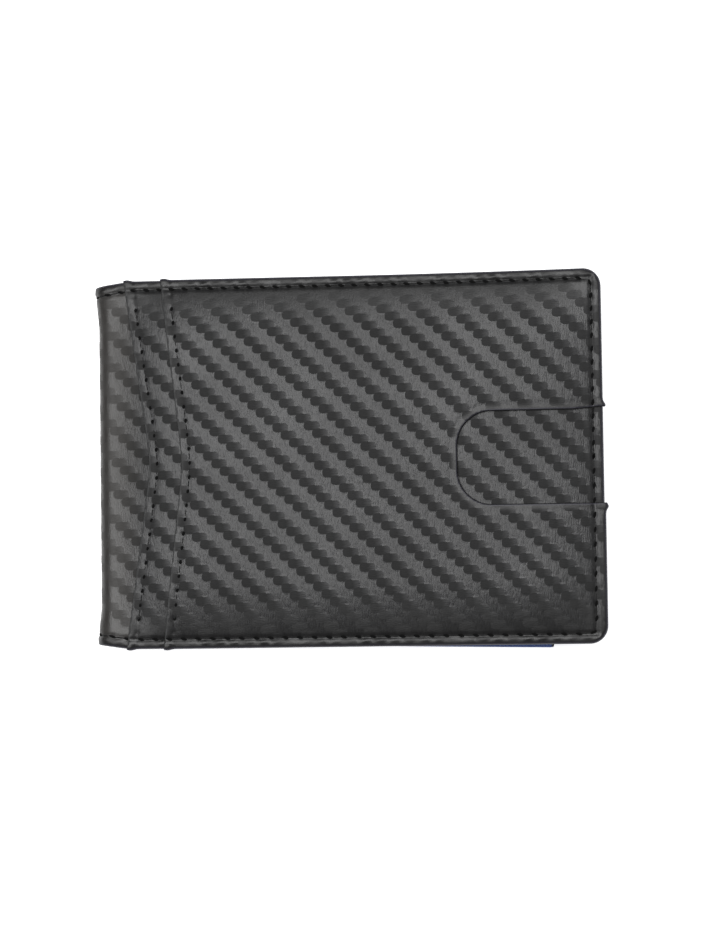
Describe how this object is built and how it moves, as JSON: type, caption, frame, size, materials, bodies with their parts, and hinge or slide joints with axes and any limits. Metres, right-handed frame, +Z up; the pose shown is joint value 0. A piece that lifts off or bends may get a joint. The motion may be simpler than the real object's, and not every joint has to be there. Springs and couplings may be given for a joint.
{
  "type": "minimalist wallet",
  "caption": "Slim bifold wallet in embossed black leather, with outer card pockets, a thumb notch, a blue interior with card slots and identity window, and a sprung note clip.",
  "frame": {"origin": "middle of the back cover's outer face, which the closed wallet rests on", "axes": "+X from the spine to the free edge, +Y along the spine, +Z up through the closed wallet"},
  "size_m": [0.112, 0.0828, 0.0143],
  "materials": {
    "carbon_leather": "embossed woven pattern, satin",
    "blue_leather": "fine grain, matte",
    "lining": "plain weave polyester",
    "board": "matte",
    "foil": "satin",
    "thread": "waxed polyester",
    "clip_steel": "brushed",
    "spring_steel": "drawn wire",
    "clear_film": "clear gloss"
  },
  "bodies": {
    "back_wing": {"shell_back": "carbon_leather", "board_back": "board", "foil_back": "foil", "lining_back": "lining", "slot_back_1": "blue_leather", "slot_back_2": "blue_leather", "slot_back_3": "blue_leather", "thread_back_edge": "thread", "clip_base": "clip_steel", "clip_pin": "clip_steel", "clip_rivets": "clip_steel", "clip_spring": "spring_steel"},
    "note_clip": {"clip_arm": "clip_steel"},
    "spine": {"shell_spine": "carbon_leather", "lining_spine": "lining"},
    "front_wing": {"shell_front": "carbon_leather", "pocket_lower": "carbon_leather", "pocket_upper": "carbon_leather", "board_front": "board", "foil_front": "foil", "lining_front": "lining", "slot_front_1": "blue_leather", "slot_front_2": "blue_leather", "id_film": "clear_film", "id_frame": "blue_leather", "thread_front_edge": "thread", "thread_pocket_lower": "thread", "thread_pocket_upper": "thread"}
  },
  "joints": [
    {"name": "back_fold", "type": "hinge", "parent": "back_wing", "child": "spine", "pos_m": [-0.0548, 0, 0.0012], "axis": [0, -1, 0], "range_deg": [0, 90]},
    {"name": "front_fold", "type": "hinge", "parent": "spine", "child": "front_wing", "pos_m": [-0.0548, 0, 0.0128], "axis": [0, -1, 0], "range_deg": [0, 90]},
    {"name": "clip_lift", "type": "hinge", "parent": "back_wing", "child": "note_clip", "pos_m": [-0.049, 0, 0.0042], "axis": [0, -1, 0], "range_deg": [0, 12], "stiffness_Nm_per_rad": 0.05, "springref_deg": -20.05, "deforming": ["clip_spring"]}
  ],
  "couplings": [
    {"joint": "front_fold", "follows": "back_fold", "ratio": 1}
  ]
}
